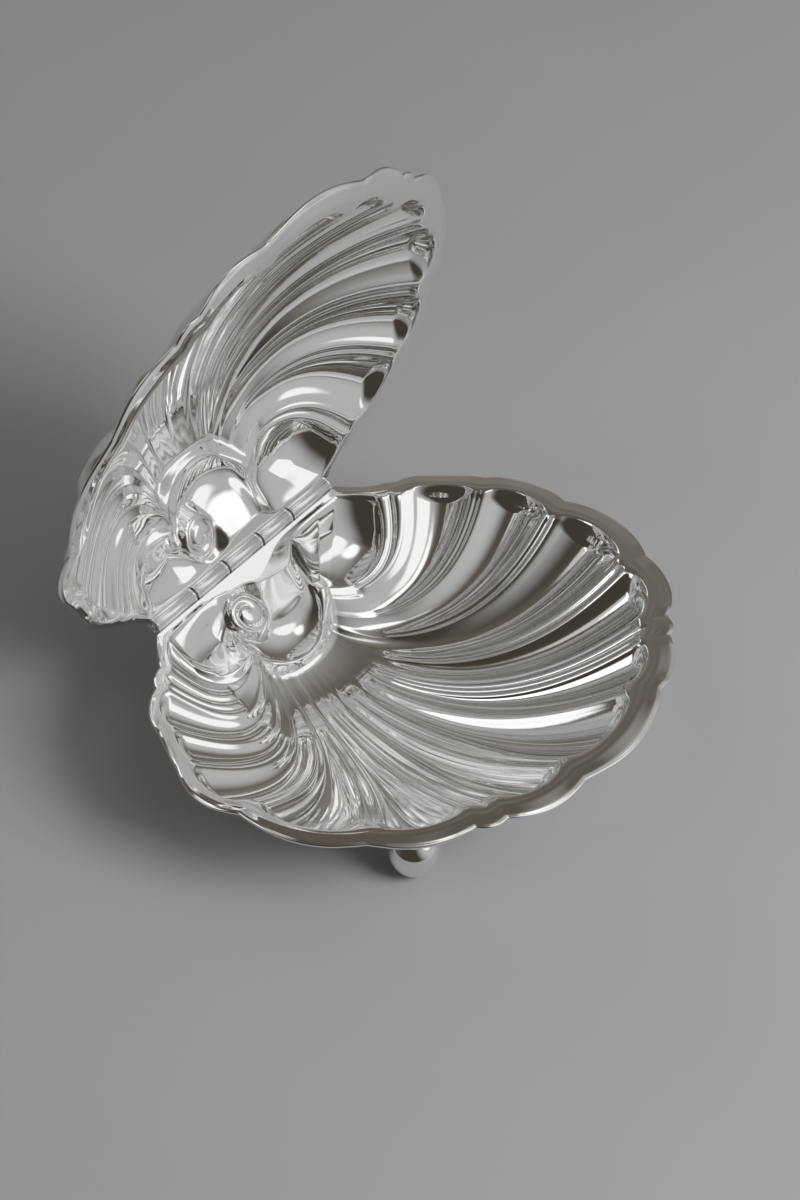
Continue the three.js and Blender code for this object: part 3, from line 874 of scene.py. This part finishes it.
for place_name in FOOT_PLACES:
    low, high = box_of("foot_ball_" + place_name)
    middle = (low + high) / 2
    stand = Matrix.Translation((middle.x, middle.y, low.z))
    ball = lathe("ball_" + place_name, ball_profile(), BALL_STEPS, stand)
    neck_low, neck_high = box_of("foot_neck_" + place_name)
    bottom, top = (neck_low.z - low.z) / MM, (neck_high.z - low.z) / MM + NECK_SINK
    neck = lathe("neck_" + place_name, neck_profile(bottom, top), NECK_STEPS, stand)
    for piece, node in ((ball, "foot_ball_"), (neck, "foot_neck_")):
        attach(piece, "base")
        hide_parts(node + place_name)
print("feet:", len(FOOT_PLACES))

# %% [markdown]
# The two bearer strips join the knuckles to the sheets. The CAD pieces have the right shape
# already, so they stay, and a small bevel softens their long edges.

# %% Bearer strips
STRIP_EDGE = 0.15
BEARERS = ("base_bearer", "lid_bearer")
for node in BEARERS:
    bevel = frame["nodes"][node].modifiers.new("soft edges", "BEVEL")
    bevel.width = STRIP_EDGE * MM
    bevel.segments = 2
    bevel.limit_method = "ANGLE"
print("bearer strips:", len(BEARERS))

# %% [markdown]
# Silver plate is nearly a mirror, so small things make it look real: hair-fine scratches from
# polishing cloths, a faint haze where hands and food touch it, and painted shade: a warm
# brown darkening of the base colour in the creases, where shade falls.
# These effects are node groups, so every silver piece can mix them in its own strength.


# %% Node helpers
def new_group(name, inputs, outputs):
    group = bpy.data.node_groups.new(name, "ShaderNodeTree")
    for socket, kind, value in inputs:
        made = group.interface.new_socket(socket, in_out="INPUT", socket_type=kind)
        made.default_value = value
    for socket, kind in outputs:
        group.interface.new_socket(socket, in_out="OUTPUT", socket_type=kind)
    return group, group.nodes.new("NodeGroupInput"), group.nodes.new("NodeGroupOutput")


def math_node(tree, operation, a, b, clamp=False):
    node = tree.nodes.new("ShaderNodeMath")
    node.operation = operation
    node.use_clamp = clamp
    for socket, value in zip(node.inputs, (a, b)):
        if isinstance(value, (int, float)):
            socket.default_value = value
        else:
            tree.links.new(value, socket)
    return node.outputs[0]


def noise_node(tree, vector, scale, detail):
    node = tree.nodes.new("ShaderNodeTexNoise")
    tree.links.new(vector, node.inputs["Vector"])
    node.inputs["Scale"].default_value = scale
    node.inputs["Detail"].default_value = detail
    return node.outputs["Fac"]


def ranged(tree, value, low, high, to_low=0.0, to_high=1.0):
    node = tree.nodes.new("ShaderNodeMapRange")
    tree.links.new(value, node.inputs["Value"])
    limits = {"From Min": low, "From Max": high, "To Min": to_low, "To Max": to_high}
    for name, number in limits.items():
        node.inputs[name].default_value = number
    return node.outputs["Result"]


# %% [markdown]
# The painted crease shade lies where the surface is hollow and narrow. Ambient occlusion finds
# such places by itself, and soft noise breaks the painted shade into patches.

# %% Painted shade in the creases
SHADE_REACH = 0.0013  # metres


def crease_shade_group():
    group, start, end = new_group(
        "painted crease shade",
        [("Vector", "NodeSocketVector", (0, 0, 0)), ("Reach", "NodeSocketFloat", SHADE_REACH)],
        [("Mask", "NodeSocketFloat")],
    )
    # Narrow hollows found by ambient occlusion get the painted shade.
    hollow = group.nodes.new("ShaderNodeAmbientOcclusion")
    hollow.samples = 8
    hollow.only_local = True
    group.links.new(start.outputs["Reach"], hollow.inputs["Distance"])
    closed = ranged(group, hollow.outputs["AO"], low=0.88, high=0.5)
    blotches = noise_node(group, start.outputs["Vector"], scale=140, detail=4)
    patches = ranged(group, blotches, low=0.3, high=0.7, to_low=0.45)
    film = math_node(group, "MULTIPLY", closed, patches, clamp=True)
    group.links.new(film, end.inputs["Mask"])
    return group


painted_crease_shade = crease_shade_group()
print("group:", painted_crease_shade.name, "nodes:", len(painted_crease_shade.nodes))

# %% [markdown]
# Wear: fine scratches in two directions that cross, and cloudy haze between them.
# Stretching the noise along one axis is enough to turn its blobs into scratches.
# A slow noise underneath is the height of small dents, which bend the reflections.

# %% Scratches and haze
SCRATCH_TURNS = (0.5, -0.9)
SCRATCH_STRETCH = (1, 22, 9)
SCRATCH_HAZE = 0.5
SCRATCH_HEIGHT = 0.05


def wear_group():
    group, start, end = new_group(
        "polishing wear",
        [("Vector", "NodeSocketVector", (0, 0, 0))],
        [("Haze", "NodeSocketFloat"), ("Height", "NodeSocketFloat")],
    )
    position = start.outputs["Vector"]
    scratches = []
    for turn in SCRATCH_TURNS:
        mapping = group.nodes.new("ShaderNodeMapping")
        mapping.inputs["Rotation"].default_value = (turn, turn / 2, turn)
        mapping.inputs["Scale"].default_value = SCRATCH_STRETCH
        group.links.new(position, mapping.inputs["Vector"])
        lines = noise_node(group, mapping.outputs["Vector"], scale=90, detail=2)
        scratches.append(ranged(group, lines, low=0.56, high=0.74))
    both = math_node(group, "MAXIMUM", *scratches)
    cloud = ranged(group, noise_node(group, position, scale=45, detail=5), low=0.35, high=0.75)
    dents = noise_node(group, position, scale=75, detail=2)
    dull = math_node(group, "MULTIPLY", both, SCRATCH_HAZE)
    deep = math_node(group, "MULTIPLY", both, SCRATCH_HEIGHT)
    haze = math_node(group, "MAXIMUM", dull, cloud, clamp=True)
    group.links.new(haze, end.inputs["Haze"])
    group.links.new(math_node(group, "SUBTRACT", dents, deep), end.inputs["Height"])
    return group


polishing_wear = wear_group()
print("group:", polishing_wear.name, "nodes:", len(polishing_wear.nodes))

# %% [markdown]
# Three silvers share one recipe. The sheet and the balls are polished, and the hinge is
# satin from use. Only the strength of the painted crease shade, the roughness where it is clean
# and where it is hazy, and the depth of the dents differ, so they are the function's own values.

# %% The silver finishes
CREASE_ROUGHNESS = 0.12
DENT_DEPTH = 0.0004  # metres
# Each silver colour is paired with the painted brown shade of its creases.
BRIGHT_SILVER, BROWN_PAINTED_SHADE = (0.95, 0.95, 0.945), (0.22, 0.17, 0.12)
WORN_SILVER, DARK_PAINTED_SHADE = (0.88, 0.88, 0.875), (0.1, 0.08, 0.06)


def placed_group(tree, group, position):
    node = tree.nodes.new("ShaderNodeGroup")
    node.node_tree = group
    tree.links.new(position, node.inputs["Vector"])
    return node


def silver_material(name, colour, painted_shade_colour, film, smooth, hazy, dent):
    material = bpy.data.materials.new(name)
    material.use_nodes = True
    tree = material.node_tree
    shader = tree.nodes["Principled BSDF"]
    shader.inputs["Metallic"].default_value = 1.0
    position = tree.nodes.new("ShaderNodeTexCoord").outputs["Object"]
    wear = placed_group(tree, polishing_wear, position)
    crease = placed_group(tree, painted_crease_shade, position)
    mask = crease.outputs["Mask"]
    # The base colour turns to the painted crease shade where the mask is.
    tint = tree.nodes.new("ShaderNodeMix")
    tint.data_type = "RGBA"
    tint.inputs["A"].default_value = (*colour, 1)
    tint.inputs["B"].default_value = (*painted_shade_colour, 1)
    tree.links.new(math_node(tree, "MULTIPLY", mask, film), tint.inputs["Factor"])
    tree.links.new(tint.outputs["Result"], shader.inputs["Base Color"])
    rough = ranged(tree, wear.outputs["Haze"], low=0, high=1, to_low=smooth, to_high=hazy)
    rough = math_node(tree, "ADD", rough, math_node(tree, "MULTIPLY", mask, CREASE_ROUGHNESS))
    tree.links.new(rough, shader.inputs["Roughness"])
    bump = tree.nodes.new("ShaderNodeBump")
    bump.inputs["Strength"].default_value = dent
    bump.inputs["Distance"].default_value = DENT_DEPTH
    tree.links.new(wear.outputs["Height"], bump.inputs["Height"])
    tree.links.new(bump.outputs["Normal"], shader.inputs["Normal"])
    return material


sheet_silver = silver_material(
    "polished silver sheet", BRIGHT_SILVER, BROWN_PAINTED_SHADE, film=0.95, smooth=0.03, hazy=0.12, dent=0.12
)
cast_silver = silver_material(
    "polished silver ball", BRIGHT_SILVER, BROWN_PAINTED_SHADE, film=0.7, smooth=0.02, hazy=0.08, dent=0.08
)
hinge_silver = silver_material(
    "worn hinge silver", WORN_SILVER, DARK_PAINTED_SHADE, film=0.95, smooth=0.2, hazy=0.34, dent=0.08
)

# %% [markdown]
# The first word of a piece's name says which silver it gets. Everything that isn't a shell
# or a foot belongs to the hinge.

# %% Give each piece its silver
SILVER_OF = {"fluted": sheet_silver, "ball": cast_silver, "neck": cast_silver}
silver_pieces = [ob for ob in scene.objects if ob.type == "MESH"]
for piece in silver_pieces:
    piece.data.materials.clear()
    kind = piece.name.split("_")[0]
    piece.data.materials.append(SILVER_OF.get(kind, hinge_silver))
print("pieces and nodes in silver:", len(silver_pieces))

# %% [markdown]
# The camera stands where the photographer stood. Its angles, distance and focal length were
# fitted to points of the object that the CAD model has too, such as the ends of the hinge.
# It looks down at the open dish from the front left, from about 0.7 metres away.

# %% Camera
PHOTO_HEIGHT = 1200
FOCAL_PIXELS = 2587.0
SENSOR = 36
CAMERA_AZIMUTH = math.radians(-50.40)
CAMERA_ELEVATION = math.radians(47.48)
CAMERA_ROLL = math.radians(0.15)
CAMERA_DISTANCE = 688.1
AIM_FROM_HINGE = Vector((14.24, -43.73, 0))
CLIP_NEAR, CLIP_FAR = 0.01, 20  # metres
forward = Vector(
    (
        -math.sin(CAMERA_AZIMUTH) * math.cos(CAMERA_ELEVATION),
        math.cos(CAMERA_AZIMUTH) * math.cos(CAMERA_ELEVATION),
        -math.sin(CAMERA_ELEVATION),
    )
)
camera_data = bpy.data.cameras.new("camera")
camera = bpy.data.objects.new("camera", camera_data)
scene.collection.objects.link(camera)
camera_data.sensor_width = SENSOR
camera_data.lens = SENSOR * FOCAL_PIXELS / PHOTO_HEIGHT
stand_point = HINGE + AIM_FROM_HINGE * MM - forward * CAMERA_DISTANCE * MM
looking = forward.to_track_quat("-Z", "Y").to_matrix().to_4x4()
rolled = Matrix.Rotation(CAMERA_ROLL, 4, "Z")
camera.matrix_world = Matrix.Translation(stand_point) @ looking @ rolled
camera_data.clip_start, camera_data.clip_end = CLIP_NEAR, CLIP_FAR
scene.camera = camera
print("lens:", round(camera_data.lens, 1), "mm, camera at", [round(c, 3) for c in stand_point])

# %% [markdown]
# The dish stands on a plain pale table top, here one large square.

# %% Floor
FLOOR_HALF = 5  # metres
FLOOR_COLOUR = (0.42, 0.424, 0.438)
FLOOR_UNEVEN = 0.04


def table_material():
    material = bpy.data.materials.new("pale table top")
    material.use_nodes = True
    tree = material.node_tree
    shader = tree.nodes["Principled BSDF"]
    shader.inputs["Roughness"].default_value = 0.6
    position = tree.nodes.new("ShaderNodeTexCoord").outputs["Object"]
    tint = tree.nodes.new("ShaderNodeMix")
    tint.data_type = "RGBA"
    for socket, shade in (("A", 1 - FLOOR_UNEVEN), ("B", 1 + FLOOR_UNEVEN)):
        tint.inputs[socket].default_value = (*(shade * c for c in FLOOR_COLOUR), 1)
    tree.links.new(noise_node(tree, position, scale=9, detail=3), tint.inputs["Factor"])
    tree.links.new(tint.outputs["Result"], shader.inputs["Base Color"])
    return material


bm = bmesh.new()
bmesh.ops.create_grid(bm, x_segments=1, y_segments=1, size=FLOOR_HALF)
floor_mesh = bpy.data.meshes.new("floor")
bm.to_mesh(floor_mesh)
bm.free()
floor = bpy.data.objects.new("floor", floor_mesh)
scene.collection.objects.link(floor)
floor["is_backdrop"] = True
floor.data.materials.append(table_material())
print("floor:", [round(side, 1) for side in floor.dimensions])

# %% [markdown]
# A polished object shows its surroundings more than itself, so the surroundings are planned.
# The room is one dim warm colour with soft lobes of light added to it. Each row gives the
# direction a lobe lies in, how far it reaches, and its colour: first a broad soft light at the
# front right, a faint one at the back right and a dark lobe at the left, which takes light
# away, and then the small bright windows. Modelled lamps would do too, but their edges
# are harder to soften.

# %% The room round the dish
ROOM_COLOUR = (0.1, 0.086, 0.069)
ROOM_LIGHTS = [
    # azimuth, elevation, full within, gone beyond, colour
    (300, 30, 20, 62, (0.35, 0.365, 0.375)),
    (45, 12, 5, 50, (0.09, 0.088, 0.082)),
    (200, 22, 30, 60, (-0.052, -0.046, -0.038)),
    (298, 40, 14, 20, (0.48, 0.49, 0.49)),
    (147, 49, 11, 14, (0.95, 0.97, 0.98)),
    (85, 41, 9, 13, (0.93, 0.94, 0.95)),
    (288, 68, 7, 13, (0.7, 0.71, 0.71)),
    (155, 60, 6, 11, (0.45, 0.45, 0.44)),
]
world = bpy.data.worlds.new("studio")
world.use_nodes = True
nodes, links = world.node_tree.nodes, world.node_tree.links
direction = nodes.new("ShaderNodeTexCoord").outputs["Generated"]


def with_lobe(total, azimuth, elevation, inner, outer, colour):
    """Adds one soft lobe of light to the colour that the room has so far."""
    towards = Vector((1, 0, 0))
    towards.rotate(Matrix.Rotation(math.radians(-elevation), 3, "Y"))
    towards.rotate(Matrix.Rotation(math.radians(azimuth), 3, "Z"))
    facing = nodes.new("ShaderNodeVectorMath")
    facing.operation = "DOT_PRODUCT"
    facing.inputs[1].default_value = towards
    fade = nodes.new("ShaderNodeMapRange")
    fade.interpolation_type = "SMOOTHSTEP"
    fade.inputs["From Min"].default_value = math.cos(math.radians(outer))
    fade.inputs["From Max"].default_value = math.cos(math.radians(inner))
    scaled = nodes.new("ShaderNodeVectorMath")
    scaled.operation = "SCALE"
    scaled.inputs[0].default_value = colour
    added = nodes.new("ShaderNodeVectorMath")
    links.new(direction, facing.inputs[0])
    links.new(facing.outputs["Value"], fade.inputs["Value"])
    links.new(fade.outputs["Result"], scaled.inputs["Scale"])
    links.new(total, added.inputs[0])
    links.new(scaled.outputs[0], added.inputs[1])
    return added.outputs[0]


room = nodes.new("ShaderNodeCombineXYZ")
for axis, value in enumerate(ROOM_COLOUR):
    room.inputs[axis].default_value = value
total = room.outputs[0]
for light in ROOM_LIGHTS:
    total = with_lobe(total, *light)
links.new(total, nodes["Background"].inputs["Color"])
nodes["Background"].inputs["Strength"].default_value = 1.0
scene.world = world
print("lobes of light in the room:", len(ROOM_LIGHTS))

# %% [markdown]
# One large soft lamp in front of the dish lights the table and throws the soft shadow behind
# it, at the left of the picture. A mirror finish would show the lamp as a bright square, so
# it is hidden from reflections, and the room has its own windows on that side.

# %% The lamp
LAMP_PLACE = Vector((0.24, -0.9, 0.68))  # metres
LAMP_AIM = Vector((0, 0, 0.03))  # metres
LAMP_SIZE = 0.5  # metres
LAMP_POWER = 10.5  # watts
LAMP_COLOUR = (0.98, 0.99, 1.0)
lamp_data = bpy.data.lights.new("soft key", "AREA")
lamp_data.energy = LAMP_POWER
lamp_data.size = LAMP_SIZE
lamp_data.color = LAMP_COLOUR
lamp = bpy.data.objects.new("soft key", lamp_data)
lamp.location = LAMP_PLACE
lamp.rotation_euler = (LAMP_AIM - LAMP_PLACE).to_track_quat("-Z", "Y").to_euler()
lamp.visible_glossy = False
scene.collection.objects.link(lamp)
scene.view_settings.view_transform = "Standard"
print("lamp distance:", round((LAMP_AIM - LAMP_PLACE).length, 2), "metres")

# %% [markdown]
# Last, the box of the dressed model is printed.

# %% Print the size of the dressed model
low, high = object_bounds()
print("visual box", [[round(v, 4) for v in c] for c in (low, high)])
